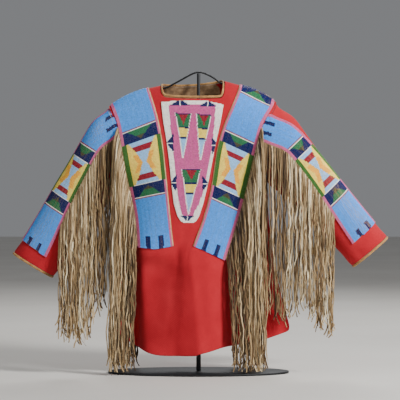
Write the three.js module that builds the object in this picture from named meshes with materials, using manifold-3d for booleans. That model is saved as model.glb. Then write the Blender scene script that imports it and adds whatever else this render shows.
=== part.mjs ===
// A red wool shirt with beaded shoulder and sleeve strips, a beaded bib and long
// hide fringe, hanging on a display stand. Millimetres, +Z up, the front faces -Y,
// and the origin is under the post, at the middle of the base plate's underside.
import * as THREE from "three";
import { mergeVertices } from "three/addons/utils/BufferGeometryUtils.js";
import Module from "manifold-3d";

const wasm = await Module();
wasm.setup();

// Driving dimensions
const CLOTH = 2.2; // wall of the wool cloth
const SEAM = 0.5; // gap between pieces that are sewn edge to edge
const ARMHOLE_SEAM = 1.7; // gap between the panels and a sleeve, which meet along a curve
const LIFT = 0.4; // gap under what is sewn flat on the cloth
const BEADWORK = 3.0; // hide and beads of a strip
const BIB = 2.8; // hide and beads of the bib
const SHOULDER_DROP = 105; // height over which the shoulder rounds off to full depth
const ARMHOLE_DEPTH = 46; // half of the armhole's width from front to back
const CHEST = { front: 56, back: 52 }; // half depth of the filled-out body
const SQUARENESS = 2.6; // how full the chest stays towards its sides
const NECK = { left: -108, right: 74, middleZ: 812, arch: 14 }; // arch: the shoulder line's rise over it
const FOLD_TOP = 440; // height at which the hem's folds start
const FOLD_FULL = 285; // height below which they have their full depth
const BASE = { width: 506, depth: 204, thick: 6 };
const POST = { radius: 6.5, top: 430 };
const ROD = { radius: 4.6, top: 838.3 };
const WIRE = 2.7; // radius of the hanger's bent rod
const APEX = 843; // height of the hanger's bend, at the rod's middle line
const FACING = { deep: 42, below: 1.5, gap: 0.7, thick: 1.2 }; // hide inside the back of the neck

// The hanger's bent rod, from the left tip to the right: its arms lie a small drop
// under the cloth's inner side, and its middle bends up to the apex.
const ARM_LEFT = [
  { x: -232, drop: 6 },
  { x: -205, drop: 3.2 },
  { x: -176, drop: 2.8 },
  { x: -145, drop: 1.6 },
  { x: -120, drop: 2.5 },
  { x: -104, drop: 8 },
];
const BEND = [
  { x: -60, belowApex: 29 },
  { x: -14, belowApex: 4 },
  { x: 1, belowApex: 0 },
  { x: 16, belowApex: 4 },
  { x: 44, belowApex: 18 },
];
const ARM_RIGHT = [
  { x: 70, drop: 8 },
  { x: 90, drop: 2.5 },
  { x: 120, drop: 1.6 },
  { x: 147, drop: 2.6 },
  { x: 180, drop: 3 },
  { x: 204, drop: 6 },
];

// Lines that run down both panels, and how far across each lies at each height.
// Lines 0 and 7 are the armholes and side seams, 1 and 2 the left strip's edges,
// 3 and 4 the bib's and neck's sides, 5 and 6 the right strip's edges.
const LINES = ["seamL", "outL", "inL", "neckL", "neckR", "inR", "outR", "seamR"];
const ACROSS = [
  { z: 40, seamL: -262, outL: -151, inL: -78, neckL: -66, neckR: -8, inR: 4, outR: 66, seamR: 272 },
  { z: 120, seamL: -251, outL: -158, inL: -76, neckL: -65, neckR: -12, inR: 0, outR: 66, seamR: 261 },
  { z: 240, seamL: -234, outL: -166, inL: -73, neckL: -63, neckR: -20, inR: -9, outR: 66, seamR: 228 },
  { z: 318, seamL: -226, outL: -167, inL: -71, neckL: -62, neckR: -25, inR: -16, outR: 71, seamR: 212 },
  { z: 358, seamL: -223, outL: -166, inL: -70, neckL: -61, neckR: -24, inR: -16, outR: 84, seamR: 206 },
  { z: 430, seamL: -219, outL: -172, inL: -77, neckL: -67, neckR: 3, inR: 13, outR: 109, seamR: 198 },
  { z: 512, seamL: -218, outL: -189, inL: -85, neckL: -76, neckR: 24, inR: 35, outR: 131, seamR: 194 },
  { z: 560, seamL: -216, outL: -201, inL: -90, neckL: -80, neckR: 34, inR: 41, outR: 142, seamR: 186 },
  { z: 640, seamL: -222, outL: -214, inL: -98, neckL: -88, neckR: 45, inR: 52, outR: 161, seamR: 177 },
  { z: 696, seamL: -231, outL: -224, inL: -108, neckL: -97, neckR: 61, inR: 70, outR: 176, seamR: 188 },
  { z: 722, seamL: -241, outL: -235, inL: -115, neckL: -101.5, neckR: 66.5, inR: 82, outR: 193, seamR: 201 },
  { z: 748, seamL: -252, outL: -246, inL: -122, neckL: -106, neckR: 72, inR: 94, outR: 210, seamR: 217 },
  { z: 798, seamL: -253, outL: -247, inL: -139, neckL: -108, neckR: 74, inR: 113, outR: 214, seamR: 221 },
  { z: 840, seamL: -253, outL: -247, inL: -139, neckL: -108, neckR: 74, inR: 115, outR: 214, seamR: 221 },
];

// The shoulder line, from the left armhole over the neck to the right armhole.
const RIDGE = [
  { x: -276, z: 727 },
  { x: -257, z: 743 },
  { x: -219, z: 768 },
  { x: -176, z: 789 },
  { x: -139, z: 798 },
  { x: -108, z: 805 },
  { x: 74, z: 818 },
  { x: 115, z: 806 },
  { x: 147, z: 800 },
  { x: 176, z: 787 },
  { x: 204, z: 768 },
  { x: 232, z: 748 },
  { x: 254, z: 733 },
];

// Height of the hem and of the strips' lower ends, and the hem's depth from front
// to back, each at a place counted across the lines above.
const HEM = [
  { at: 0, front: 112, back: 112, end: 350 },
  { at: 0.6, front: 88, back: 104, end: 350 },
  { at: 1, front: 64, back: 94, end: 353 },
  { at: 1.5, front: 54, back: 86, end: 347 },
  { at: 2, front: 52, back: 82, end: 357 },
  { at: 3, front: 52, back: 80, end: 357 },
  { at: 4, front: 53, back: 80, end: 357 },
  { at: 5, front: 58, back: 84, end: 357 },
  { at: 6, front: 74, back: 96, end: 317 },
  { at: 6.4, front: 84, back: 104, end: 315 },
  { at: 7, front: 119, back: 119, end: 312 },
];
const FOLDS = [
  { at: 0, front: 0, back: 0 },
  { at: 0.35, front: 26, back: 34 },
  { at: 0.7, front: 17, back: 46 },
  { at: 0.88, front: 30, back: 58 },
  { at: 1, front: 64, back: 64 },
  { at: 1.3, front: 82, back: 54 },
  { at: 1.8, front: 78, back: 54 },
  { at: 2.4, front: 68, back: 62 },
  { at: 3.2, front: 74, back: 68 },
  { at: 4.2, front: 92, back: 62 },
  { at: 5, front: 92, back: 54 },
  { at: 5.5, front: 82, back: 56 },
  { at: 6, front: 62, back: 66 },
  { at: 6.1, front: 30, back: 64 },
  { at: 6.25, front: 16, back: 56 },
  { at: 6.65, front: 32, back: 38 },
  { at: 7, front: 0, back: 0 },
];

// The edge of the neck opening in the front and in the back panel, left to right
const NECKLINE = {
  front: [
    { x: -108, z: 805 },
    { x: -106, z: 790 },
    { x: -102, z: 777 },
    { x: -94, z: 770 },
    { x: -60, z: 766.5 },
    { x: -17, z: 765.5 },
    { x: 30, z: 765.5 },
    { x: 60, z: 767 },
    { x: 68, z: 771 },
    { x: 72, z: 787 },
    { x: 74, z: 818 },
  ],
  back: [
    { x: -108, z: 805 },
    { x: -100, z: 802 },
    { x: -60, z: 801 },
    { x: -17, z: 802 },
    { x: 30, z: 807 },
    { x: 62, z: 812 },
    { x: 74, z: 818 },
  ],
};

// Sections of each sleeve, from the armhole to the cuff: the upper and lower edge,
// half the depth, and where round the sleeve, in degrees from its upper edge
// towards the front, the beaded strip begins and ends.
const SLEEVES = {
  left: [
    { way: 0, topX: -252, topZ: 745, lowX: -218, lowZ: 530, depth: 46, from: 4, to: 76 },
    { way: 0.1, topX: -291, topZ: 710, lowX: -233, lowZ: 507, depth: 49, from: 4, to: 77 },
    { way: 0.22, topX: -322, topZ: 659, lowX: -252, lowZ: 477, depth: 50, from: 4, to: 78 },
    { way: 0.36, topX: -357, topZ: 596, lowX: -277, lowZ: 438, depth: 49, from: 4, to: 80 },
    { way: 0.52, topX: -401, topZ: 526, lowX: -309, lowZ: 394, depth: 47, from: 5, to: 86 },
    { way: 0.68, topX: -443, topZ: 452, lowX: -344, lowZ: 349, depth: 44, from: 6, to: 95 },
    { way: 0.84, topX: -484, topZ: 384, lowX: -376, lowZ: 307, depth: 41, from: 8, to: 104 },
    { way: 1, topX: -518, topZ: 339, lowX: -405, lowZ: 270, depth: 38, from: 8, to: 108 },
  ],
  right: [
    { way: 0, topX: 218, topZ: 757, lowX: 190, lowZ: 532, depth: 46, from: 44, to: 88 },
    { way: 0.1, topX: 264, topZ: 724, lowX: 209, lowZ: 514, depth: 49, from: 40, to: 87 },
    { way: 0.22, topX: 298, topZ: 676, lowX: 230, lowZ: 494, depth: 50, from: 30, to: 85 },
    { way: 0.36, topX: 335, topZ: 624, lowX: 260, lowZ: 468, depth: 49, from: 18, to: 86 },
    { way: 0.52, topX: 385, topZ: 556, lowX: 300, lowZ: 432, depth: 47, from: 10, to: 92 },
    { way: 0.68, topX: 434, topZ: 493, lowX: 345, lowZ: 390, depth: 44, from: 8, to: 101 },
    { way: 0.84, topX: 483, topZ: 433, lowX: 389, lowZ: 344, depth: 41, from: 8, to: 110 },
    { way: 1, topX: 528, topZ: 383, lowX: 429, lowZ: 299, depth: 38, from: 8, to: 116 },
  ],
};
const STRIP_WAY = { from: 0.014, to: 0.875 }; // the part of a sleeve that its strip covers

// The bib's sides at each height, and its top edge from right to left
const BIB_SIDES = [
  { z: 421, left: -41, right: -14 },
  { z: 426, left: -50, right: -6 },
  { z: 440, left: -59, right: 2 },
  { z: 473, left: -69, right: 13 },
  { z: 531, left: -76, right: 27 },
  { z: 595, left: -82, right: 39 },
  { z: 660, left: -91, right: 52 },
  { z: 700, left: -98, right: 61 },
  { z: 750, left: -104, right: 70 },
];
const BIB_TOP = [
  { x: 24, z: 760 },
  { x: -45, z: 762.5 },
  { x: -105, z: 757 },
];

// Fringe: strands hang from a narrow backing along the strips' outer edges on the
// body and their lower edges on the sleeves. The tables give the numbers of strands,
// where they hang sideways, and how much or how high their tips vary.
const STRAND = 1.75; // radius of a strand's three-sided section
const STRAND_STEPS = 3; // lengths that a strand is made of
const STRAND_BEND = { most: 46, share: 0.3 }; // how far below its root a strand reaches its lane
const ROOT = 1.1; // radius of a strand where it leaves its backing
const LAYER = 6.5; // distance between the layers of strands
const CLEAR_OF_CHEST = 12; // from the chest to the first layer
const BACKING = 1.5; // half thickness of the backing
const BACKING_GAP = { over: 1.3, beside: 1 }; // from the cloth and from the strip's edge
const CROWDING = 0.85; // below 1, the lanes are closer together towards the outside
const SWAY = 1.1; // how far a strand strays from its lane
const TIP_LOW = 9; // lowest tip, above the base plate
const SHOULDER_FRINGE = {
  left: { front: 36, back: 26, outX: -256, inX: -178, tips: 26 },
  right: { front: 36, back: 26, outX: 206, inX: 90, tips: 22 },
};
const SLEEVE_FRINGE = { count: 34, from: 0.04, to: 0.77, below: 2.6, layer: 5, tips: 20 };
const SLEEVE_TIPS = {
  left: [
    { way: 0, z: 232 },
    { way: 0.2, z: 196 },
    { way: 0.45, z: 104 },
    { way: 0.7, z: 96 },
    { way: 1, z: 122 },
  ],
  right: [
    { way: 0, z: 218 },
    { way: 0.2, z: 150 },
    { way: 0.5, z: 196 },
    { way: 0.75, z: 140 },
    { way: 1, z: 118 },
  ],
};

const mix = (a, b, t) => a + (b - a) * t;
const clamp = (v, low, high) => Math.min(high, Math.max(low, v));
const smooth = (t) => t * t * (3 - 2 * t);
const even = (n) => Array.from({ length: n + 1 }, (_, i) => i / n);
const V = (x, y, z) => new THREE.Vector3(x, y, z);

// A repeatable spread of numbers from -1 to 1, for the strands' unevenness.
function uneven(n) {
  const spread = Math.sin(n * 12.9898) * 43758.5453;
  return 2 * (spread - Math.floor(spread)) - 1;
}

// Reads column name of a table at a value of its key column, along a smooth curve
// through the rows, or in straight stretches.
function read(table, key, value, name, straight = false) {
  const last = table.length - 1;
  const v = clamp(value, table[0][key], table[last][key]);
  let i = 0;
  while (i < last - 1 && v > table[i + 1][key]) i++;
  const [a, b] = [table[i], table[i + 1]];
  const span = b[key] - a[key];
  const t = (v - a[key]) / span;
  if (straight) return mix(a[name], b[name], t);
  const before = table[Math.max(0, i - 1)];
  const after = table[Math.min(last, i + 2)];
  const slopeA = (b[name] - before[name]) / (b[key] - before[key]);
  const slopeB = (after[name] - a[name]) / (after[key] - a[key]);
  const t2 = t * t;
  const t3 = t2 * t;
  return (
    (2 * t3 - 3 * t2 + 1) * a[name] +
    (t3 - 2 * t2 + t) * span * slopeA +
    (3 * t2 - 2 * t3) * b[name] +
    (t3 - t2) * span * slopeB
  );
}

// Where line q lies across the shirt at a height, with places between lines.
function acrossAt(q, z) {
  const i = clamp(Math.floor(q), 0, LINES.length - 2);
  const [a, b] = [LINES[i], LINES[i + 1]].map((name) => read(ACROSS, "z", z, name, true));
  return mix(a, b, q - i);
}

// The place across the lines of a point of the front view.
function placeOf(x, z) {
  const xs = LINES.map((name) => read(ACROSS, "z", z, name, true));
  let i = 0;
  while (i < xs.length - 2 && x > xs[i + 1]) i++;
  return i + clamp((x - xs[i]) / (xs[i + 1] - xs[i]), 0, 1);
}

// The shoulder line's height, which arches a little where it would cross the neck.
function ridgeAt(x) {
  const inNeck = clamp((x - NECK.left) / (NECK.right - NECK.left), 0, 1);
  return read(RIDGE, "x", x, "z", true) + NECK.arch * Math.sin(Math.PI * inNeck);
}

// The height at which line q meets the shoulder line.
function shoulderAt(q) {
  let z = NECK.middleZ;
  for (let tries = 0; tries < 16; tries++) z = ridgeAt(acrossAt(q, z));
  return z;
}

// Half the armhole's width from front to back at a height, none below the armpit.
function armholeDepth(x, z) {
  const sleeve = x < 0 ? SLEEVES.left[0] : SLEEVES.right[0];
  const half = (sleeve.topZ - sleeve.lowZ) / 2;
  const off = (z - sleeve.lowZ - half) / half;
  return ARMHOLE_DEPTH * Math.sqrt(Math.max(0, 1 - off * off));
}

// How far the outside of a panel lies from the middle plane at place q and height z.
function depthAt(side, q, z) {
  const x = acrossAt(q, z);
  const [left, right] = [acrossAt(0, z), acrossAt(7, z)];
  const off = Math.abs(x - (left + right) / 2) / ((right - left) / 2);
  const below = clamp((ridgeAt(x) - z) / SHOULDER_DROP, 0, 1);
  const full = CHEST[side] * Math.sqrt(1 - (1 - below) ** 2);
  const edge = armholeDepth(x, z);
  const chest = edge + (full - edge) * (1 - off ** SQUARENESS);
  const share = smooth(clamp((FOLD_TOP - z) / (FOLD_TOP - FOLD_FULL), 0, 1));
  return mix(chest, read(FOLDS, "at", q, side, true), share);
}

const facing = { front: -1, back: 1 };
const HALF_SEAM = SEAM / 2;

// A point of a panel's outside, and the way that the panel faces there.
function panelPoint(side, q, z) {
  const y = Math.max(depthAt(side, q, z), HALF_SEAM);
  return V(acrossAt(q, z), facing[side] * y, z);
}

function panelNormal(side, q, z) {
  const step = 0.5;
  const x = acrossAt(q, z);
  const top = ridgeAt(x);
  if (top - z < 1e-6) return V(-(ridgeAt(x + 1) - ridgeAt(x - 1)) / 2, 0, 1).normalize();
  const up = Math.min(z + step, top);
  const at = (dx, atZ) => panelPoint(side, placeOf(x + dx, atZ), atZ);
  const wide = at(2, z).sub(at(-2, z));
  const tall = at(0, up).sub(at(0, z - step));
  const n = wide.cross(tall).normalize();
  return n.y * facing[side] < 0 ? n.negate() : n;
}

// Heights of the panel's rows at place q, from the hem to the shoulder line.
const DROP_ROWS = 6;
const STRIP_ROWS = 6;
const SKIRT_ROWS = 6;
const ALL_ROWS = DROP_ROWS + STRIP_ROWS + SKIRT_ROWS;

function rowHeights(side, q) {
  const top = shoulderAt(q);
  const end = read(HEM, "at", q, "end", true);
  const hem = read(HEM, "at", q, side);
  const round = top - SHOULDER_DROP;
  const skirt = even(SKIRT_ROWS).map((t) => mix(hem, end, t));
  const chest = even(STRIP_ROWS).map((t) => mix(end, round, t));
  const rise = (t) => SHOULDER_DROP * Math.sin((t * Math.PI) / 2);
  const rounding = even(DROP_ROWS).map((t) => round + rise(t));
  return [...skirt, ...chest.slice(1), ...rounding.slice(1)];
}

const SIDE_L = [0, 0.35, 0.7, 0.88];
const SIDE_R = [6, 6.1, 6.25, 6.45, 6.65, 6.85, 7];
const STRIP_CELLS = 4;
const stripPlaces = (q) => even(STRIP_CELLS).map((t) => q + t);
const NECK_PLACES = [3, 3.17, 3.33, 3.5, 3.67, 3.83, 4];
const PLACES = [...SIDE_L, ...stripPlaces(1), ...NECK_PLACES, ...stripPlaces(5), ...SIDE_R.slice(1)];

// A closed surface from a grid of outer points and one of inner points. Rows run
// round when closed is true, and the cells' diagonals change over at row turnAt.
function wallSolid(outer, inner, closed = false, turnAt = Infinity) {
  const rows = outer.length;
  const wide = outer[0].length;
  const points = [...outer.flat(), ...inner.flat()];
  const far = rows * wide;
  const faces = [];
  const quad = (a, b, c, d) => faces.push(a, b, c, a, c, d);
  const cells = closed ? wide : wide - 1;
  for (let r = 0; r < rows - 1; r++)
    for (let c = 0; c < cells; c++) {
      const [a, b] = [r * wide + c, r * wide + ((c + 1) % wide)];
      if (r < turnAt) {
        quad(a, b, b + wide, a + wide);
        quad(far + a, far + a + wide, far + b + wide, far + b);
      } else {
        quad(b, b + wide, a + wide, a);
        quad(far + a + wide, far + b + wide, far + b, far + a);
      }
    }
  for (let c = 0; c < cells; c++) {
    const [a, b] = [c, (c + 1) % wide];
    const [d, e] = [a + (rows - 1) * wide, b + (rows - 1) * wide];
    quad(a, far + a, far + b, b);
    quad(d, e, far + e, far + d);
  }
  if (!closed)
    for (let r = 0; r < rows - 1; r++) {
      const [a, b] = [r * wide, (r + 1) * wide];
      quad(a, b, far + b, far + a);
      quad(a + wide - 1, far + a + wide - 1, far + b + wide - 1, b + wide - 1);
    }
  return facingOut(geometryOf(points, faces));
}

function geometryOf(points, faces) {
  const geometry = new THREE.BufferGeometry();
  const flat = points.flatMap((p) => p.toArray());
  geometry.setAttribute("position", new THREE.Float32BufferAttribute(flat, 3));
  geometry.setIndex(faces);
  return geometry;
}

// Turns a closed surface's faces round if they point inwards.
function facingOut(geometry) {
  const [p, index] = [geometry.attributes.position, geometry.index.array];
  const corner = [V(0, 0, 0), V(0, 0, 0), V(0, 0, 0)];
  let volume = 0;
  for (let i = 0; i < index.length; i += 3) {
    corner.forEach((v, k) => v.fromBufferAttribute(p, index[i + k]));
    volume += corner[0].dot(corner[1].clone().cross(corner[2]));
  }
  if (volume >= 0) return geometry;
  for (let i = 0; i < index.length; i += 3) {
    const second = index[i + 1];
    index[i + 1] = index[i + 2];
    index[i + 2] = second;
  }
  return geometry;
}

// A bar through rings of points, capped at its ends or joined end to end.
function barSolid(rings, joined = false) {
  const wide = rings[0].length;
  const faces = [];
  const spans = joined ? rings.length : rings.length - 1;
  for (let r = 0; r < spans; r++)
    for (let c = 0; c < wide; c++) {
      const next = ((r + 1) % rings.length) * wide;
      const [a, b] = [r * wide + c, r * wide + ((c + 1) % wide)];
      const [d, e] = [next + c, next + ((c + 1) % wide)];
      faces.push(a, b, e, a, e, d);
    }
  if (!joined)
    for (let c = 1; c < wide - 1; c++) {
      const far = (rings.length - 1) * wide;
      faces.push(0, c + 1, c, far, far + c, far + c + 1);
    }
  return facingOut(geometryOf(rings.flat(), faces));
}

// Solids for joining and cutting
function toSolid(geometry) {
  const bare = geometry.clone();
  bare.deleteAttribute("normal");
  bare.deleteAttribute("uv");
  const merged = mergeVertices(bare, 1e-3);
  const mesh = new wasm.Mesh({
    numProp: 3,
    vertProperties: merged.attributes.position.array,
    triVerts: new Uint32Array(merged.index.array),
  });
  return new wasm.Manifold(mesh);
}

function fromSolid(solid) {
  const mesh = solid.getMesh();
  const geometry = new THREE.BufferGeometry();
  geometry.setAttribute("position", new THREE.BufferAttribute(mesh.vertProperties, 3));
  geometry.setIndex(new THREE.BufferAttribute(mesh.triVerts, 1));
  return geometry;
}

const joinAll = (geometries) => fromSolid(geometries.map(toSolid).reduce((a, b) => a.add(b)));

// A prism along Y over an outline in the front view, on one side of the middle plane
function prism(outline, side) {
  const near = -facing[side] * 2;
  const far = facing[side] * 200;
  return barSolid([near, far].map((y) => outline.map(({ x, z }) => V(x, y, z))));
}

// The inside of a panel behind an outer point p. A side seam, where the panels meet
// edge to edge, is turned in instead, and nothing passes the middle plane.
const SEAM_TURN = 3;

function innerPoint(side, q, z, p) {
  const moved = p.clone().addScaledVector(panelNormal(side, q, z), -CLOTH);
  const atEdge = q === 0 || q === 7;
  if (atEdge && armholeDepth(p.x, z) < CLOTH) {
    const inwards = q === 0 ? SEAM_TURN : -SEAM_TURN;
    return V(p.x + inwards, p.y, Math.min(p.z, moved.z));
  }
  if (atEdge) moved.x = p.x;
  if (moved.y * facing[side] < HALF_SEAM) moved.y = facing[side] * HALF_SEAM;
  return moved;
}

// Front and back panels, with the neck opening cut out of their shoulder edge
function panel(side) {
  const outer = PLACES.map((q) => rowHeights(side, q).map((z) => panelPoint(side, q, z)));
  const inside = (q, line) => rowHeights(side, q).map((z, r) => innerPoint(side, q, z, line[r]));
  const inner = PLACES.map((q, c) => inside(q, outer[c]));
  const edge = NECKLINE[side];
  const above = [edge[edge.length - 1], edge[0]].map(({ x }) => ({ x, z: APEX }));
  const opening = prism([...edge, ...above], side);
  return fromSolid(toSolid(wallSolid(outer, inner)).subtract(toSolid(opening)));
}

// The panel's points between two places and two rows, moved out by two distances
function panelSlab(side, places, rowFrom, rowTo, from, to) {
  const grid = places.map((q) =>
    rowHeights(side, q)
      .slice(rowFrom, rowTo + 1)
      .map((z) => ({ p: panelPoint(side, q, z), n: panelNormal(side, q, z) })),
  );
  const moved = (by) => grid.map((line) => line.map(({ p, n }) => p.clone().addScaledVector(n, by)));
  return wallSolid(moved(to), moved(from));
}

// A strip over the shoulder, made of both panels' points moved out, with room under
// it for the shoulder seam
const SHOULDER_SEAM = 0.45;

function shoulderStrip(q) {
  const rows = [];
  for (const side of ["front", "back"]) {
    const places = stripPlaces(q);
    const heights = places.map((place) => rowHeights(side, place));
    const indices = even(ALL_ROWS - SKIRT_ROWS).map((_, i) => SKIRT_ROWS + i);
    const lines = indices.map((i) =>
      places.map((place, c) => {
        const z = heights[c][i];
        const p = panelPoint(side, place, z);
        if (i === ALL_ROWS) p.set(p.x, 0, z + SHOULDER_SEAM);
        return { p, n: i === ALL_ROWS ? ridgeNormal(p.x) : panelNormal(side, place, z) };
      }),
    );
    rows.push(...(side === "front" ? lines : lines.reverse().slice(1)));
  }
  const moved = (by) => rows.map((line) => line.map(({ p, n }) => p.clone().addScaledVector(n, by)));
  return wallSolid(moved(LIFT + BEADWORK), moved(LIFT), false, ALL_ROWS - SKIRT_ROWS);
}

function ridgeNormal(x) {
  return V(-(ridgeAt(x + 2) - ridgeAt(x - 2)) / 4, 0, 1).normalize();
}

// The bib, a part of the front panel's points moved out
function bib() {
  const left = BIB_SIDES.map((row) => ({ x: row.left, z: row.z }));
  const right = BIB_SIDES.map((row) => ({ x: row.right, z: row.z }));
  const outline = [...right, ...BIB_TOP, ...left.reverse()];
  const places = [2.5, 2.75, ...NECK_PLACES, 4.25, 4.5];
  const slab = panelSlab("front", places, SKIRT_ROWS, ALL_ROWS - 1, LIFT, LIFT + BIB);
  return fromSolid(toSolid(slab).intersect(toSolid(prism(outline, "front"))));
}

// Sleeves: rings round each sleeve, with the strip's edges among their corners, at
// these shares of the way to the cuff
const RING = { strip: 5, rest: 15 };
const ARMHOLE_REACH = 0.1; // share of a sleeve that bends to follow the armhole
const WAYS = [0, STRIP_WAY.from, 0.05, 0.1, 0.18, 0.28, 0.4, 0.52, 0.64, 0.76, STRIP_WAY.to, 0.94, 1];

function ringAngles(hand, way) {
  const [from, to] = ["from", "to"].map((name) => read(SLEEVES[hand], "way", way, name, true));
  const strip = even(RING.strip).map((t) => mix(from, to, t));
  const rest = even(RING.rest).slice(1, -1).map((t) => mix(to, from + 360, t));
  return [...strip, ...rest];
}

function sleevePoint(hand, way, degrees, inset = 0) {
  const at = (name) => read(SLEEVES[hand], "way", way, name);
  const [topX, topZ, lowX, lowZ, depth] = [at("topX"), at("topZ"), at("lowX"), at("lowZ"), at("depth")];
  const angle = THREE.MathUtils.degToRad(degrees);
  const half = Math.hypot(topX - lowX, topZ - lowZ) / 2;
  const reach = ((half - inset) / half) * Math.cos(angle);
  const x = (topX + lowX) / 2 + ((topX - lowX) / 2) * reach;
  const z = (topZ + lowZ) / 2 + ((topZ - lowZ) / 2) * reach;
  const y = -(depth - inset) * Math.sin(angle);
  const out = hand === "left" ? -1 : 1;
  const seamX = acrossAt(hand === "left" ? 0 : 7, z) + out * ARMHOLE_SEAM;
  const near = 1 - smooth(clamp(way / ARMHOLE_REACH, 0, 1));
  return V(mix(x, seamX, near), y, z);
}

function sleeveNormal(hand, way, degrees) {
  const at = (w, d) => sleevePoint(hand, clamp(w, 0, 1), d);
  const along = at(way + 0.02, degrees).sub(at(way - 0.02, degrees));
  const round = at(way, degrees + 2).sub(at(way, degrees - 2));
  const n = round.cross(along).normalize();
  const middle = at(way, 90).add(at(way, 270)).multiplyScalar(0.5);
  return n.dot(at(way, degrees).sub(middle)) < 0 ? n.negate() : n;
}

function sleeve(hand) {
  const ring = (way, inset) => ringAngles(hand, way).map((d) => sleevePoint(hand, way, d, inset));
  const grid = (inset) => WAYS.map((way) => ring(way, inset));
  return wallSolid(grid(0), grid(CLOTH), true);
}

function sleeveStrip(hand) {
  const ways = WAYS.filter((way) => way >= STRIP_WAY.from && way <= STRIP_WAY.to);
  const rows = ways.map((way) =>
    ringAngles(hand, way)
      .slice(0, RING.strip + 1)
      .map((d) => ({ p: sleevePoint(hand, way, d), n: sleeveNormal(hand, way, d) })),
  );
  const moved = (by) => rows.map((line) => line.map(({ p, n }) => p.clone().addScaledVector(n, by)));
  return wallSolid(moved(LIFT + BEADWORK), moved(LIFT));
}

// The narrow hide binding past the end of each cuff
const CUFF = { wide: 5, thick: 3.2 };

function cuffBinding(hand) {
  const rings = ringAngles(hand, 1).map((d) => {
    const edge = sleevePoint(hand, 1, d);
    const inner = sleevePoint(hand, 1, d, CLOTH);
    const before = sleevePoint(hand, WAYS[WAYS.length - 2], 90);
    const along = sleevePoint(hand, 1, 90).sub(before).setY(0).normalize();
    const out = edge.clone().sub(inner).normalize();
    const middle = edge.clone().add(inner).multiplyScalar(0.5);
    const at = (a, b) => middle.clone().addScaledVector(along, a).addScaledVector(out, b);
    const t = CUFF.thick / 2;
    return [at(LIFT, -t), at(LIFT, t), at(LIFT + CUFF.wide, t), at(LIFT + CUFF.wide, -t)];
  });
  return barSolid(rings, true);
}

// The narrow hide binding along the neckline, front and back in one ring
const NECK_BINDING = { tall: 5.5, thick: 3.4, above: 1.9, leanIn: 0.8 };

function neckBinding() {
  const along = (side) =>
    NECKLINE[side].map(({ x, z }) => {
      const y = Math.max(depthAt(side, placeOf(x, z), z) - CLOTH / 2, 0);
      return V(x, facing[side] * y, z);
    });
  const [front, back] = [along("front"), along("back")];
  const ends = [front[0], front[front.length - 1]].map((p) => V(p.x, 0, p.z - 1));
  const route = [ends[0], ...front.slice(1, -1), ends[1], ...back.slice(1, -1).reverse()];
  const middle = V((NECK.left + NECK.right) / 2, 0, NECK.middleZ);
  const rings = route.map((p, i) => {
    const before = route[(i + route.length - 1) % route.length];
    const after = route[(i + 1) % route.length];
    const tangent = after.clone().sub(before).normalize();
    const wanted = middle.clone().sub(p).setY(0).normalize();
    const open = V(0, 0, 1).addScaledVector(wanted, NECK_BINDING.leanIn);
    const up = open.addScaledVector(tangent, -open.dot(tangent)).normalize();
    const out = tangent.clone().cross(up);
    const t = NECK_BINDING.thick / 2;
    const at = (a, b) => p.clone().addScaledVector(up, a).addScaledVector(out, b);
    const [low, high] = [NECK_BINDING.above, NECK_BINDING.above + NECK_BINDING.tall];
    return [at(low, -t), at(low, t), at(high, t), at(high, -t)];
  });
  return barSolid(rings, true);
}

// The hide facing that shows inside the back of the neck
function neckFacing() {
  const edge = NECKLINE.back.slice(1, -1).map(({ x, z }) => ({ x, z: z - FACING.below }));
  const low = edge.map(({ x, z }) => ({ x, z: z - FACING.deep })).reverse();
  const [near, far] = [-CLOTH - FACING.gap, -CLOTH - FACING.gap - FACING.thick];
  const slab = panelSlab("back", NECK_PLACES, ALL_ROWS - 5, ALL_ROWS - 1, far, near);
  return fromSolid(toSolid(slab).intersect(toSolid(prism([...edge, ...low], "back"))));
}

// One strand, three-sided, through a few points, thinner towards its tip
function strand(points, turn) {
  const rings = points.map((p, i) => {
    const r = i === 0 ? ROOT : STRAND * mix(1.1, 0.55, i / (points.length - 1));
    return [0, 1, 2].map((k) => {
      const angle = turn + i * 0.5 + (k * 2 * Math.PI) / 3;
      return V(p.x + r * Math.cos(angle), p.y + r * Math.sin(angle), p.z);
    });
  });
  return barSolid(rings);
}

// A backing bar along a route of points and the ways its cloth faces there
function backingBar(route) {
  const rings = route.map(({ p, n }, i) => {
    const before = route[Math.max(0, i - 1)].p;
    const after = route[Math.min(route.length - 1, i + 1)].p;
    const along = after.clone().sub(before).normalize();
    const out = n.clone().addScaledVector(along, -n.dot(along)).normalize();
    const wide = along.clone().cross(out);
    const at = (u, v) => p.clone().addScaledVector(out, u * BACKING).addScaledVector(wide, v * BACKING);
    return [at(-1, -1), at(1, -1), at(1, 1), at(-1, 1)];
  });
  return barSolid(rings);
}

// The point a share of the way along a route
function alongRoute(route, t) {
  const at = t * (route.length - 1);
  const i = Math.min(Math.floor(at), route.length - 2);
  return route[i].p.clone().lerp(route[i + 1].p, at - i);
}

function hangingStrand(root, lane, tipZ, seed) {
  const drop = root.z - tipZ;
  const start = Math.min(STRAND_BEND.most, drop * STRAND_BEND.share);
  const points = [root.clone()];
  for (let i = 1; i <= STRAND_STEPS; i++) {
    const z = root.z - mix(start, drop, (i - 1) / (STRAND_STEPS - 1));
    const sway = SWAY * Math.sin(seed * 0.35 + (i * 5) / STRAND_STEPS);
    points.push(V(lane.x + sway, lane.y + 0.5 * sway, z));
  }
  return strand(points, seed * 1.3);
}

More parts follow.
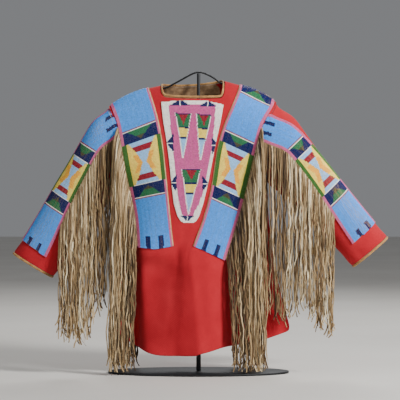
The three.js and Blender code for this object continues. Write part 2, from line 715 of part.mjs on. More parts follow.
// Fringe from the outer edge of a shoulder strip, in front or behind
function shoulderFringe(hand, side) {
  const size = SHOULDER_FRINGE[hand];
  const [line, out] = hand === "left" ? [1, -1] : [6, 1];
  const rows = rowHeights(side, line).slice(SKIRT_ROWS, SKIRT_ROWS + STRIP_ROWS + 1);
  const route = rows.map((z) => {
    const n = panelNormal(side, line, z);
    const sideways = V(out, 0, 0).addScaledVector(n, -out * n.x).normalize();
    const p = panelPoint(side, line, z);
    p.addScaledVector(n, BACKING + BACKING_GAP.over);
    p.addScaledVector(sideways, BACKING + BACKING_GAP.beside);
    return { p, n };
  });
  const strands = even(size[side] - 1).map((t, i) => {
    const root = alongRoute(route, mix(0.02, 0.98, t));
    const layer = CHEST.front + CLEAR_OF_CHEST + LAYER * (i % 3);
    const lane = V(mix(size.inX, size.outX, t ** CROWDING), facing[side] * layer, 0);
    const tip = TIP_LOW + size.tips * (1 + uneven(i + 3));
    return hangingStrand(root, lane, tip, i);
  });
  return joinAll([backingBar(route), ...strands]);
}

// Fringe from the lower edge of a sleeve's strip
function sleeveFringe(hand) {
  const size = SLEEVE_FRINGE;
  const edgeAt = (way) => {
    const degrees = read(SLEEVES[hand], "way", way, "to", true) + size.below;
    const n = sleeveNormal(hand, way, degrees);
    return { p: sleevePoint(hand, way, degrees).addScaledVector(n, BACKING + LIFT), n };
  };
  const route = WAYS.filter((way) => way >= size.from && way <= size.to).map(edgeAt);
  const strands = even(size.count - 1).map((t, i) => {
    const root = alongRoute(route, mix(0.01, 0.99, t));
    const lane = V(root.x + uneven(i + 11) / 2, root.y - size.layer * (0.8 + (i % 2)), 0);
    const tip = read(SLEEVE_TIPS[hand], "way", t, "z") + size.tips * uneven(i + 7);
    return hangingStrand(root, lane, tip, i + 50);
  });
  return joinAll([backingBar(route), ...strands]);
}

// The stand: an oval plate, a post, a thinner rod in it, and a bent hanger rod
function basePlate() {
  const outline = new THREE.Shape().absellipse(0, 0, BASE.width / 2, BASE.depth / 2, 0, 2 * Math.PI);
  const depth = BASE.thick;
  return new THREE.ExtrudeGeometry(outline, { depth, bevelEnabled: false, curveSegments: 24 });
}

function upright(radius, from, to) {
  const geometry = new THREE.CylinderGeometry(radius, radius, to - from, 16);
  return geometry.rotateX(Math.PI / 2).translate(0, 0, (from + to) / 2);
}

function hanger() {
  const arm = (rows) => rows.map(({ x, drop }) => V(x, 0, ridgeAt(x) - CLOTH - WIRE - drop));
  const bend = BEND.map(({ x, belowApex }) => V(x, 0, APEX - belowApex));
  const points = [...arm(ARM_LEFT), ...bend, ...arm(ARM_RIGHT)];
  const route = new THREE.CatmullRomCurve3(points, false, "centripetal");
  const ring = new THREE.Shape().absarc(0, 0, WIRE, 0, 2 * Math.PI);
  return new THREE.ExtrudeGeometry(ring, { extrudePath: route, steps: 34, curveSegments: 4 });
}

function finish(color, roughness, metalness = 0) {
  return new THREE.MeshStandardMaterial({ color, roughness, metalness });
}

const red = finish(0xb5272b, 0.95);
const hide = finish(0xb59a76, 0.9);
const brownHide = finish(0x6f5640, 0.9);
const blueBeads = finish(0x6fa8d2, 0.35);
const whiteBeads = finish(0xe6e2d8, 0.35);
const blackIron = finish(0x17181a, 0.5, 0.8);

const shirt = new THREE.Group();

function add(name, geometry, material) {
  const mesh = new THREE.Mesh(geometry, material);
  mesh.name = name;
  shirt.add(mesh);
}

add("panel_front", panel("front"), red);
add("panel_back", panel("back"), red);
for (const hand of ["left", "right"]) {
  add(`sleeve_${hand}`, sleeve(hand), red);
  add(`shoulder_strip_${hand}`, shoulderStrip(hand === "left" ? 1 : 5), blueBeads);
  add(`sleeve_strip_${hand}`, sleeveStrip(hand), blueBeads);
  add(`cuff_binding_${hand}`, cuffBinding(hand), hide);
  add(`fringe_front_${hand}`, shoulderFringe(hand, "front"), hide);
  add(`fringe_back_${hand}`, shoulderFringe(hand, "back"), hide);
  add(`fringe_sleeve_${hand}`, sleeveFringe(hand), hide);
}
add("bib", bib(), whiteBeads);
add("neck_binding", neckBinding(), hide);
add("neck_facing", neckFacing(), brownHide);
add("stand_base", basePlate(), blackIron);
add("stand_post", upright(POST.radius, BASE.thick + LIFT, POST.top), blackIron);
add("stand_rod", upright(ROD.radius, POST.top + LIFT, ROD.top), blackIron);
add("stand_hanger", hanger(), blackIron);

export default shirt;
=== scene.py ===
import math

import bmesh
import bpy
import numpy as np
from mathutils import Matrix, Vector, noise
from mathutils.bvhtree import BVHTree


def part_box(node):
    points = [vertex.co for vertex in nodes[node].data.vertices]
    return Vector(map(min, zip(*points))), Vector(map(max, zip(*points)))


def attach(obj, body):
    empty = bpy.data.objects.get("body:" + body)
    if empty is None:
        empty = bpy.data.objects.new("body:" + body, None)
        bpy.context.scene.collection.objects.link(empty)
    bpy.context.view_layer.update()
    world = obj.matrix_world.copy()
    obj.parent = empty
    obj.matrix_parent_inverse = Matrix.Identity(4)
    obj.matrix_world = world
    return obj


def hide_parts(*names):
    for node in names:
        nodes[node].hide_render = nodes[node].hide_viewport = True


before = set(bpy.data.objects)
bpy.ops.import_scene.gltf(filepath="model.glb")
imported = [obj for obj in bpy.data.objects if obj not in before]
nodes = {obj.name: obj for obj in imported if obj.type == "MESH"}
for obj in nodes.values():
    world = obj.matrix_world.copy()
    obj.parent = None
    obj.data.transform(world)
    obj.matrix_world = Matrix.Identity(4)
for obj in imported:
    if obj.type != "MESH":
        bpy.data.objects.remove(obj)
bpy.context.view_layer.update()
MM = 0.001

# The shirt's body and sleeves are red wool trade cloth, a heavy fulled cloth whose weave is felted over.
# Two panels are sewn at the sides and shoulders, and each sleeve is one piece folded along its top.
# The cloth is 2.2 mm thick, and hangs in a few soft folds with shallower creases between them.
BODY_CREASES = {  # mm in the front view: a line from top to low end, its width, and its depth into the shirt
    "front": (
        # top x, top z, low x, low z, width, depth
        (-132, 350, -138, 50, 58, 25.0),
        (-50, 360, -54, 50, 34, -8.0),
        (-100, 240, 56, 222, 8, 1.6),
        (-120, 290, -14, 264, 8, 1.6),
        (-60, 176, 50, 190, 7, -1.4),
        (-152, 330, -166, 58, 16, -2.4),
        (58, 330, 70, 60, 18, 3.0),
        (-20, 412, -92, 300, 13, 2.4),
        (-8, 405, 52, 318, 12, 2.0),
        (4, 300, 14, 90, 12, 1.8),
        (-70, 280, -84, 100, 11, 1.6),
        (-204, 330, -232, 120, 12, -2.2),
        (140, 300, 176, 96, 13, 3.0),
        (176, 290, 214, 112, 12, -2.6),
        (-60, 200, 10, 176, 16, 1.4),
    ),
    "back": (
        (-26, 700, -30, 360, 26, 3.2),
        (24, 660, 40, 380, 18, -2.2),
        (-70, 640, -60, 420, 15, -2.0),
        (-40, 340, -52, 90, 26, 5.0),
        (34, 330, 30, 92, 20, -3.6),
        (-112, 330, -128, 96, 18, 3.4),
        (96, 300, 112, 100, 18, 3.2),
        (-196, 320, -222, 120, 14, -2.4),
        (168, 300, 198, 112, 14, -2.6),
        (-6, 520, 60, 430, 16, 1.6),
    ),
}
SLEEVE_CREASES = (
    # share of the sleeve's length and angle round it, from the top edge to the front, at both ends;
    # width; depth
    (0.06, 196, 0.22, 152, 13, 3.6),
    (0.16, 230, 0.30, 170, 12, 3.0),
    (0.30, 262, 0.44, 196, 12, 2.6),
    (0.46, 150, 0.60, 232, 13, 3.0),
    (0.58, 300, 0.72, 210, 11, 2.2),
    (0.74, 160, 0.84, 250, 12, 2.2),
    (0.20, 330, 0.62, 318, 16, -1.8),
    (0.90, 120, 0.99, 132, 9, 1.6),
    (0.91, 40, 0.99, 34, 10, -1.4),
)
SLEEVE_AXES = {"left": ((-240, 634), (-461, 304)), "right": ((213, 640), (478, 341))}
ARC = 0.85  # mm round a sleeve for each degree
BELOW_STRIPS = (345, 40)  # the height from which the whole skirt is free to crease, and the fade into it
BETWEEN_STRIPS = {  # the free cloth between the strips: its top and fade, middle, half width and fade
    "front": (415, 30, -30, 36, 16),
    "back": (720, 40, -24, 40, 22),
}
BARE_SIDE = ((122, 14), (352, 10))  # angles between which no strip lies on a sleeve, each with its fade


def linear(hex_colour):
    """An sRGB hex colour as linear red, green, blue and alpha."""
    parts = [int(hex_colour[i : i + 2], 16) / 255 for i in (1, 3, 5)]
    return tuple(c / 12.92 if c <= 0.04045 else ((c + 0.055) / 1.055) ** 2.4 for c in parts) + (1.0,)


def add(material, kind, inputs=(), **settings):
    """A new node, with its settings, and each input given a value or joined to (node, output)."""
    node = material.node_tree.nodes.new("ShaderNode" + kind)
    for key, value in settings.items():
        setattr(node, key, value)
    for socket, value in dict(inputs).items():
        if isinstance(value, tuple) and isinstance(value[0], bpy.types.Node):
            material.node_tree.links.new(value[0].outputs[value[1]], node.inputs[socket])
        else:
            node.inputs[socket].default_value = value
    return node


def surface(name, roughness, **constants):
    """A material with its one shader, and the constants of the finish set on it."""
    material = bpy.data.materials.new(name)
    material.use_nodes = True
    shader = material.node_tree.nodes["Principled BSDF"]
    shader.inputs["Roughness"].default_value = roughness
    for key, value in constants.items():
        shader.inputs[key.replace("_", " ")].default_value = value
    return material, shader


def join(material, node, output, target, socket):
    """Links one node's output to another's socket."""
    material.node_tree.links.new(node.outputs[output], target.inputs[socket])


def ramp(material, factor, stops):
    """A colour ramp from (place, hex colour) stops."""
    node = add(material, "ValToRGB", {"Fac": factor})
    elements = node.color_ramp.elements
    while len(elements) < len(stops):
        elements.new(0.5)
    for element, (place, colour) in zip(elements, stops):
        element.position = place
        element.color = linear(colour)
    return node


def wool_cloth():
    """Red wool trade cloth: fulled, so dull, with a short nap that catches light at a slant."""
    material, shader = surface("red_trade_cloth", 0.93, Sheen_Weight=0.22, Sheen_Roughness=0.45)
    shader.inputs["Sheen Tint"].default_value = linear("#F08A84")
    shader.inputs["Specular IOR Level"].default_value = 0.25
    at = add(material, "TexCoord")
    spread = {"Vector": (at, "Object"), "Scale": 9.0, "Detail": 4.0, "Roughness": 0.55}
    wear = add(material, "TexNoise", spread)
    colour = ramp(material, (wear, "Fac"), ((0.28, "#A61521"), (0.5, "#B61E29"), (0.72, "#C22932")))
    # The nap's tufts are about 0.7 mm wide, drawn at 1.6 mm so that they show.
    tufts = {"Vector": (at, "Object"), "Scale": 620.0, "Detail": 3.0, "Roughness": 0.7}
    nap = add(material, "TexNoise", tufts)
    flecks = ramp(material, (nap, "Fac"), ((0.3, "#9E9E9E"), (0.62, "#FFFFFF")))
    both = {"Factor": 0.35, 6: (colour, "Color"), 7: (flecks, "Color")}
    mixed = add(material, "Mix", both, data_type="RGBA", blend_type="MULTIPLY")
    join(material, mixed, 2, shader, "Base Color")
    # Fulling leaves the twill's ribs just felt under the nap. They are drawn 3 mm apart.
    lines = {"Vector": (at, "Object"), "Scale": 120.0, "Distortion": 2.2, "Detail": 2.0}
    ribs = add(material, "TexWave", lines, bands_direction="DIAGONAL")
    height = add(material, "Mix", {"Factor": 0.3, 2: (nap, "Fac"), 3: (ribs, "Fac")})
    bump = add(material, "Bump", {"Height": (height, 0), "Strength": 0.55, "Distance": 0.0007})
    join(material, bump, "Normal", shader, "Normal")
    return material


def merged(name):
    """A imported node's shape as a bmesh with its doubles merged."""
    bm = bmesh.new()
    bm.from_mesh(nodes[name].data)
    bmesh.ops.remove_doubles(bm, verts=bm.verts, dist=0.01 * MM)
    return bm


def finished(name, bm, material, stands_for=(), levels=0):
    """A piece from a bmesh: subdivided, shaded, named, riding on the shirt, in its finish."""
    mesh = bpy.data.meshes.new(name)
    bm.to_mesh(mesh)
    bm.free()
    piece = bpy.data.objects.new(name, mesh)
    bpy.context.scene.collection.objects.link(piece)
    if levels:
        modifier = piece.modifiers.new("round_off", "SUBSURF")
        modifier.levels = modifier.render_levels = levels
        modifier.boundary_smooth = "PRESERVE_CORNERS"
        graph = bpy.context.evaluated_depsgraph_get()
        piece.data = bpy.data.meshes.new_from_object(piece.evaluated_get(graph))
        piece.modifiers.clear()
        bpy.data.meshes.remove(mesh)
        piece.data.name = name
    piece.data.shade_smooth()
    piece.data.materials.append(material)
    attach(piece, "root")
    if stands_for:
        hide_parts(*stands_for)
    return piece


def quads(bm):
    """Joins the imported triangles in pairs, so that subdividing follows the cloth's rows."""
    bmesh.ops.join_triangles(
        bm,
        faces=bm.faces,
        cmp_seam=False,
        cmp_sharp=False,
        cmp_uvs=False,
        cmp_vcols=False,
        cmp_materials=False,
        angle_face_threshold=math.radians(50),
        angle_shape_threshold=math.radians(60),
    )
    return bm


def places(piece):
    """A piece's points in millimetres."""
    flat = np.zeros(len(piece.data.vertices) * 3)
    piece.data.vertices.foreach_get("co", flat)
    return flat.reshape(-1, 3) / MM


def move_to(piece, points):
    """Puts a piece's points at these places in millimetres."""
    piece.data.vertices.foreach_set("co", (points * MM).ravel())
    piece.data.update()


def unevenness(points, scale, depth):
    """A soft, even spread of small highs and lows over the cloth, in millimetres."""
    return np.array([depth * noise.noise(Vector(p / scale)) for p in points])


def crease(across, along, width, depth):
    """A trough's depth: round across, and dying away unevenly at both of its ends."""
    body = np.exp(-((across / width) ** 2))
    ends = np.clip(np.minimum(along, 1 - along) * 4 + 0.35, 0, 1)
    return depth * body * ends * ends * (3 - 2 * ends)


wool = wool_cloth()
for side, facing in (("front", -1), ("back", 1)):
    panel = f"panel_{side}"
    cloth = finished(f"shirt_{side}", quads(merged(panel)), wool, [panel], levels=2)
    points = places(cloth)
    x, z = points[:, 0], points[:, 2]
    pushed = np.zeros(len(points))
    for top_x, top_z, low_x, low_z, width, depth in BODY_CREASES[side]:
        run = np.array([low_x - top_x, low_z - top_z], float)
        length = np.linalg.norm(run)
        along = ((x - top_x) * run[0] + (z - top_z) * run[1]) / length**2
        bend = 5 * np.sin(along * 5 + top_x)
        across = ((x - top_x) * run[1] - (z - top_z) * run[0]) / length + bend
        pushed += crease(across, along, width, depth)
    # Nothing moves under the beaded strips, which are sewn flat, or at the shoulders and side seams.
    below = np.clip((BELOW_STRIPS[0] - z) / BELOW_STRIPS[1], 0, 1)
    top, fade, middle, half, side_fade = BETWEEN_STRIPS[side]
    between = np.clip((top - z) / fade, 0, 1) * np.clip((half - np.abs(x - middle)) / side_fade, 0, 1)
    free = np.maximum(below, between)
    edge = np.clip((np.abs(points[:, 1]) - 4) / 14, 0, 1)
    flat = points * (1, 0, 1)
    pushed += unevenness(flat, 46, 1.5) + unevenness(flat, 17, 0.5)
    points[:, 1] -= facing * pushed * free * edge
    move_to(cloth, points)

for hand, ((top_x, top_z), (low_x, low_z)) in SLEEVE_AXES.items():
    node = f"sleeve_{hand}"
    sleeve = finished(f"sleeve_cloth_{hand}", quads(merged(node)), wool, [node], levels=2)
    points = places(sleeve)
    axis = np.array([low_x - top_x, 0, low_z - top_z], float)
    length = np.linalg.norm(axis)
    axis /= length
    start = np.array([top_x, 0, top_z], float)
    way = (points - start) @ axis
    spoke = points - start - way[:, None] * axis
    reach = np.linalg.norm(spoke, axis=1)
    up = np.cross(axis, (0, 1, 0)) * (1 if hand == "right" else -1)
    up *= np.sign(up[2])
    angle = np.degrees(np.arctan2(-spoke[:, 1], spoke @ up)) % 360
    share = way / length
    pushed = np.zeros(len(points))
    for share_a, angle_a, share_b, angle_b, width, depth in SLEEVE_CREASES:
        run = np.array([(share_b - share_a) * length, (angle_b - angle_a) * ARC])
        long = np.linalg.norm(run)
        ds, da = (share - share_a) * length, (angle - angle_a) * ARC
        along = (ds * run[0] + da * run[1]) / long**2
        across = (ds * run[1] - da * run[0]) / long
        pushed += crease(across, along, width, depth)
    # Nothing moves under the strip or at the armhole, and all of the cuff beyond the strip may.
    beyond = np.clip((share - 0.9) / 0.04, 0, 1)
    (first, fade_in), (last, fade_out) = BARE_SIDE
    bare = np.clip((angle - first) / fade_in, 0, 1) * np.clip((last - angle) / fade_out, 0, 1)
    clear = np.maximum(bare, beyond)
    pushed = (pushed + unevenness(points, 30, 1.0)) * clear * np.clip(share / 0.08, 0, 1)
    points -= spoke / reach[:, None] * pushed[:, None]
    move_to(sleeve, points)

# The strips and the bib are beadwork: glass seed beads sewn in close rows to brain-tanned hide.
# Each strip is one piece of hide, laid over the shoulder or along the sleeve and sewn down at its edges.
# Beads here are 2.8 mm apart, coarser than the real 2 mm, and the rows swell a little between stitches.
BEAD = {"pitch": 2.8, "wide": 3.06, "corner": 0.36, "flat": 1.4, "tall": 1.6}  # a little squeezed together
ROW = 2.72  # mm from row to row, for the rows lie tight together
LANE = 5  # beads in a row between two stitches
SWELL = 0.35  # mm that the middle of a row stands up
HIDE = {"sunk": 1.5, "thick": 1.2, "bib": 0.8}  # mm below the beads' tops, mm, and the bib's share of it
# An outer face turns at most this many degrees from triangle to triangle, has its back within this depth in
# mm and no cloth within this gap, and has at least this many triangles.
FACE = {"turn": 40, "depth": 4.6, "gap": 4, "least": 20}
GLASS = {
    "sky": "#4A9CEC",
    "pale": "#9ACAF2",
    "rose": "#CC6690",
    "pink": "#CF5C98",
    "navy": "#0B1A58",
    "leaf": "#28744A",
    "moss": "#41702E",
    "corn": "#F8DC62",
    "amber": "#F6B53C",
    "wine": "#98182F",
    "umber": "#4E4A34",
    "white": "#F8F4EC",
}
# Lengths along a strip: its lower plain end, thin lines, navy bands and hourglass. Then the widths of its
# border and green rim, and a navy bar's width, reach from the strip's end and distance from the middle line.
SHOULDER = {
    "end": 141,
    "line": 2.8,
    "band": 32,
    "hourglass": 123,
    "border": 9.5,
    "green": 13,
    "bar": (12, 33, 18),
}
SLEEVE = {
    "line": 2.8,
    "band": 34,
    "hourglass": 119,
    "border": 7.5,
    "green": 12,
    "bar": (10, 23, 14.5),
}
PLAIN_TOPS = {"left": 143, "right": 116}  # mm of plain field over a shoulder
PLAIN_ENDS = {"left": (95, 121), "right": (88, 115)}  # mm of plain field at the armhole and at the cuff
# From the hourglass's end to its waist: the wine bar's two edges, where the pale blue narrows and by what
# share of the width, and where amber edges the yellow points and how wide.
HOURGLASS = {"waist": 61, "bar": (14, 29), "pale": (0.86, 0.46, 0.12), "amber": (36, 14)}
BAND = {"base": 0.72, "point": 0.88, "tip": 0.52}  # shares of a band: its triangle's size and umber tip
BARE_RIM = 3.4  # mm of hide left bare along a shoulder strip's edge towards the neck
ARMHOLE_GAP = 1.6  # mm between a sleeve's strip and the shoulder's
END_CURVE = 90  # mm over which the rows of a shoulder's strip take on the curve of its end


def bead_glass():
    """Opaque glass seed beads, rounded in the kiln: glossy, each lot a little uneven in colour."""
    material, shader = surface("glass_seed_beads", 0.3, IOR=1.52)
    shader.inputs["Specular IOR Level"].default_value = 0.3
    colour = add(material, "VertexColor", layer_name="bead_colour")
    at = add(material, "TexCoord")
    # The polish differs from bead to bead, so the noise is about as wide as one, 2.7 mm.
    polish = add(material, "TexNoise", {"Vector": (at, "Object"), "Scale": 370.0, "Detail": 1.0})
    spread = {"Value": (polish, "Fac"), "From Min": 0.3, "From Max": 0.7, "To Min": 0.2, "To Max": 0.46}
    rough = add(material, "MapRange", spread)
    join(material, colour, "Color", shader, "Base Color")
    join(material, rough, "Result", shader, "Roughness")
    return material


def smoked_hide(name, light, middle, dark):
    """Brain-tanned hide, smoked to tan: a soft, open suede with cloudy colour and fine creases."""
    material, shader = surface(name, 0.88, Sheen_Weight=0.15, Sheen_Roughness=0.6)
    shader.inputs["Specular IOR Level"].default_value = 0.3
    at = add(material, "TexCoord")
    smoke = {"Vector": (at, "Object"), "Scale": 60.0, "Detail": 5.0, "Roughness": 0.6}
    cloud = add(material, "TexNoise", smoke)
    colour = ramp(material, (cloud, "Fac"), ((0.3, dark), (0.5, middle), (0.7, light)))
    join(material, colour, "Color", shader, "Base Color")
    fibres = {"Vector": (at, "Object"), "Scale": 800.0, "Detail": 4.0, "Roughness": 0.75}
    grain = add(material, "TexNoise", fibres)
    bump = add(material, "Bump", {"Height": (grain, "Fac"), "Strength": 0.5, "Distance": 0.0005})
    join(material, bump, "Normal", shader, "Normal")
    return material


def face_of(name):
    """The outer face of a beaded piece: its smooth areas with a back close behind and no cloth in front.

    Areas of a few triangles are slivers of its edge.
    """
    bm = merged(name)
    bm.normal_update()
    walls = BVHTree.FromBMesh(bm)
    todo, others = set(bm.faces), []
    while todo:
        area = [todo.pop()]
        for part in area:
            for near in (f for rim in part.edges for f in rim.link_faces if f in todo):
                if part.normal.angle(near.normal) < math.radians(FACE["turn"]):
                    todo.discard(near)
                    area.append(near)
        backed = clear = 0
        for part in area:
            centre = part.calc_center_median()
            behind = walls.ray_cast(centre - part.normal * 0.05 * MM, -part.normal, FACE["depth"] * MM)[0]
            cloth = cloth_tree.ray_cast(centre, part.normal, FACE["gap"] * MM)[0]
            backed += part.calc_area() * (1 if behind else -1)
            clear += part.calc_area() * (-1 if cloth else 1)
        if backed < 0 or clear < 0 or len(area) < FACE["least"]:
            others += area
    bmesh.ops.delete(bm, geom=others, context="FACES")
    return quads(bm)


def long_edges(bm, front_first):
    """An open strip's two long edges, both from its first end to its last, and its first and last ends.

    Both ends run from the first long edge. The corners are the four sharpest turns of the strip's rim.
    """
    edges = {}
    for rim in (e for e in bm.edges if e.is_boundary):
        for a, b in (rim.verts, reversed(rim.verts)):
            edges.setdefault(a, []).append(b)
    first = next(iter(edges))
    loop = [first, edges[first][0]]
    for _ in edges:
        loop.append(next(v for v in edges[loop[-1]] if v is not loop[-2]))
        if loop[-1] is first:
            break
    loop.pop()
    count = len(loop)
    turns = []
    for i, v in enumerate(loop):
        before, after = loop[i - 1].co - v.co, loop[(i + 1) % count].co - v.co
        turns.append((before.angle(after), i))
    corners = sorted(i for _, i in sorted(turns)[:4])
    sides = []
    for start, stop in zip(corners, [*corners[1:], corners[0] + count]):
        sides.append([loop[i % count].co.copy() for i in range(start, stop + 1)])
    sides.sort(key=lambda side: sum((b - a).length for a, b in zip(side, side[1:])))
    first, last = (side if front_first(side[0], side[-1]) else side[::-1] for side in sides[2:])
    tips = (first[0], first[-1])
    ends = [end if min((end[0] - at).length for at in tips) < 1e-6 else end[::-1] for end in sides[:2]]
    ends.sort(key=lambda end: (end[0] - first[0]).length)
    return first, last, ends


def evenly(line, shares):
    """Points at shares of a line's length."""
    line = np.array(line)
    steps = np.concatenate([[0], np.cumsum(np.linalg.norm(np.diff(line, axis=0), axis=1))])
    return np.stack([np.interp(shares * steps[-1], steps, line[:, k]) for k in range(3)], axis=1)


def bead_form():
    """The half of a bead that shows above the hide: a low dome on a square with its corners cut."""
    bm = bmesh.new()
    half, cut, top = BEAD["wide"] / 2, BEAD["wide"] / 2 - BEAD["corner"], BEAD["flat"] / 2
    foot = [(half, -cut), (half, cut), (cut, half), (-cut, half)]
    foot += [(-x, -y) for x, y in foot]
    low = [bm.verts.new((x, y, -BEAD["tall"])) for x, y in foot]
    high = [bm.verts.new((x, y, 0)) for x, y in ((top, -top), (top, top), (-top, top), (-top, -top))]
    bm.faces.new(high)
    for k in range(4):
        bm.faces.new((low[2 * k], low[2 * k + 1], high[(k + 1) % 4], high[k]))
        bm.faces.new((low[2 * k + 1], low[(2 * k + 2) % 8], high[(k + 1) % 4]))
    bm.verts.index_update()
    return bm


def string_beads(name, spots, colours, seed):
    """One mesh of beads. spots holds their tops, the directions of their rows, and the ways out."""
    bead = bead_form()
    form = np.array([v.co for v in bead.verts])
    faces = [[v.index for v in part.verts] for part in bead.faces]
    bead.free()
    rng = np.random.default_rng(seed)
    top, across, out = (np.array(column, float) for column in spots)
    third = np.cross(out, across)
    size = rng.normal(1, 0.03, (len(top), 1, 1)).clip(0.92, 1.04)
    basis = np.stack([across, third, out], axis=1)
    points = top[:, None] + size * np.einsum("vk,bkj->bvj", form, basis) * MM
    step = len(form)
    corners = [[i * step + v for v in part] for i in range(len(top)) for part in faces]
    mesh = bpy.data.meshes.new(name)
    mesh.from_pydata(points.reshape(-1, 3).tolist(), [], corners)
    tone = np.array([linear(GLASS[c]) for c in colours])
    tone[:, :3] *= rng.normal(1, 0.07, (len(colours), 1)).clip(0.8, 1.2)
    layer = mesh.color_attributes.new("bead_colour", "FLOAT_COLOR", "POINT")
    layer.data.foreach_set("color", np.repeat(tone.clip(0, 1), step, axis=0).ravel())
    bm = bmesh.new()
    bm.from_mesh(mesh)
    bpy.data.meshes.remove(mesh)
    return bm


def hourglass(depth, v, half):
    """The middle section: wine bars on pale blue, narrowing to a waist between yellow points."""
    at, (start, stop), (amber, wide) = HOURGLASS["waist"] * depth, HOURGLASS["bar"], HOURGLASS["amber"]
    reach = np.interp(at, [0, stop, HOURGLASS["waist"]], HOURGLASS["pale"]) * half
    if abs(v) > reach:
        return "amber" if at > amber and abs(v) < reach + wide else "corn"
    return "wine" if start <= at < stop else "pale"


def band(depth, v, half):
    """A navy band with a green triangle whose point is towards the hourglass."""
    if abs(v) < BAND["base"] * half * (1 - depth / BAND["point"]):
        return "umber" if depth > BAND["tip"] else "leaf"
    return "navy"


def strip_colour(s, from_end, v, half, sizes):
    """The colour at s mm from the pattern's start and v mm from the middle line; half is half the width."""
    line, wide, bar_reach, bar_at = sizes["line"], *sizes["bar"]
    first = sizes["end"] + 2 * line
    stops = np.cumsum([first, sizes["band"], sizes["hourglass"], sizes["band"], 2 * line])
    in_hourglass = stops[1] <= s < stops[2]
    inner = half - sizes["green" if in_hourglass else "border"]
    if abs(v) > inner:
        return "moss" if in_hourglass else "rose"
    if s < sizes["end"] or s >= stops[4]:
        return "navy" if from_end < bar_reach and abs(abs(v) - bar_at) < wide / 2 else "sky"
    if s < first:
        return "wine" if s < sizes["end"] + line else "white"
    if s < stops[1]:
        return band((s - first) / sizes["band"], v, inner)
    if in_hourglass:
        if s < stops[1] + BEAD["pitch"]:
            return "white"
        t = (s - stops[1]) / sizes["hourglass"]
        return hourglass(min(t, 1 - t) * 2, v, inner)
    if s < stops[3]:
        return band((stops[3] - s) / sizes["band"], v, inner)
    return "white" if s < stops[3] + line else "wine"


def shoulder_pattern(s, v, half, length, plain):
    """The pattern of a shoulder's strip, from both ends to a plain field over the shoulder."""
    section = SHOULDER["end"] + 4 * SHOULDER["line"] + 2 * SHOULDER["band"] + SHOULDER["hourglass"]
    if s < section:
        return strip_colour(s, s, v, half, SHOULDER)
    back = length - s - (length - 2 * section - plain)
    if back < section:
        return strip_colour(max(back, 1), length - s, v, half, SHOULDER)
    return "rose" if abs(v) > half - SHOULDER["border"] else "sky"


def sleeve_pattern(s, from_start, from_end, v, half, length, plain):
    """The pattern of a sleeve's strip, from the armhole and from the cuff to the middle of its hourglass."""
    if s - plain[0] < length - s - plain[1]:
        return strip_colour(s, from_start, v, half, SLEEVE | {"end": plain[0]})
    return strip_colour(length - s, from_end, v, half, SLEEVE | {"end": plain[1]})


def shoulder_rows(first, last, ends, plain):
    """Rows of a strip that bends over the shoulder. Those near an end follow its curve."""
    lengths = [np.linalg.norm(np.diff(np.array(e), axis=0), axis=1).sum() / MM for e in (first, last)]
    length, rows = np.mean(lengths), math.ceil(max(lengths) / ROW)
    shares = (np.arange(rows) + 0.5) / rows
    last_is_inner = abs(sum(p.x for p in last)) < abs(sum(p.x for p in first))
    for share, a, b in zip(shares, evenly(first, shares), evenly(last, shares)):
        wide = np.linalg.norm(b - a) / MM
        count = round(wide / BEAD["pitch"])
        q = (np.arange(count) + 0.5) / count
        v, half = (q - 0.5) * wide, wide / 2
        line = a + q[:, None] * (b - a)
        for end, from_end in zip(ends, (share * length, (1 - share) * length)):
            straight = np.array(end[0]) + q[:, None] * (np.array(end[-1]) - np.array(end[0]))
            line = line + (evenly(end, q) - straight) * max(0, 1 - from_end / END_CURVE)
        beaded = (v if last_is_inner else -v) < half - BARE_RIM
        colours = [shoulder_pattern(share * length, at, half, length, plain) for at in v[beaded]]
        yield line[beaded], (b - a), colours


def sleeve_rows(first, last, ends, plain):
    """Rows square to the sleeve, cut short where its strip's ends slant along the armhole and cuff."""
    middles = [(np.array(end[0]) + np.array(end[-1])) / 2 for end in ends]
    axis = (middles[1] - middles[0]) * (1, 0, 1)
    axis /= np.linalg.norm(axis)
    across = np.array((-axis[2], 0, axis[0])) * (1 if axis[0] > 0 else -1)
    across *= np.sign(across[2])
    loop = np.array(first[:-1] + ends[1][:-1] + last[::-1][:-1] + ends[0][::-1][:-1])
    along = loop @ axis / MM
    start, stop = (middle @ axis / MM for middle in middles)
    slants = [(np.array(end[-1]) - np.array(end[0])) for end in ends]
    slants = [(slant @ axis) / (slant @ across) for slant in slants]
    rims = [evenly(edge, np.linspace(0, 1, 160)) for edge in (first, last)]
    rims.sort(key=lambda rim: rim.mean(axis=0) @ across)
    for c in np.arange(along.min() + 1, along.max(), ROW):
        before = np.roll(along, 1)
        cut = np.flatnonzero((before - c) * (along - c) < 0)
        part_way = (c - before[cut]) / (along[cut] - before[cut])
        points = list(loop[cut - 1] + (loop[cut] - loop[cut - 1]) * part_way[:, None])
        if len(points) < 2:
            continue
        points.sort(key=lambda p: p @ across)
        a, b = points[0], points[-1]
        count = round(np.linalg.norm(b - a) / MM / BEAD["pitch"])
        if count < 1:
            continue
        line = a + ((np.arange(count) + 0.5) / count)[:, None] * (b - a)
        # Places across are counted from the strip's long edges, so that short rows match the others.
        low, high = (np.linalg.norm(line[:, None] - rim, axis=2).min(axis=1) / MM for rim in rims)
        s = c - start
        colours = []
        for at, half in zip((low - high) / 2, (low + high) / 2):
            from_ends = (s - at * slants[0], stop - c + at * slants[1])
            colours.append(sleeve_pattern(s, *from_ends, at, half, stop - start, plain))
        yield line, (b - a), colours


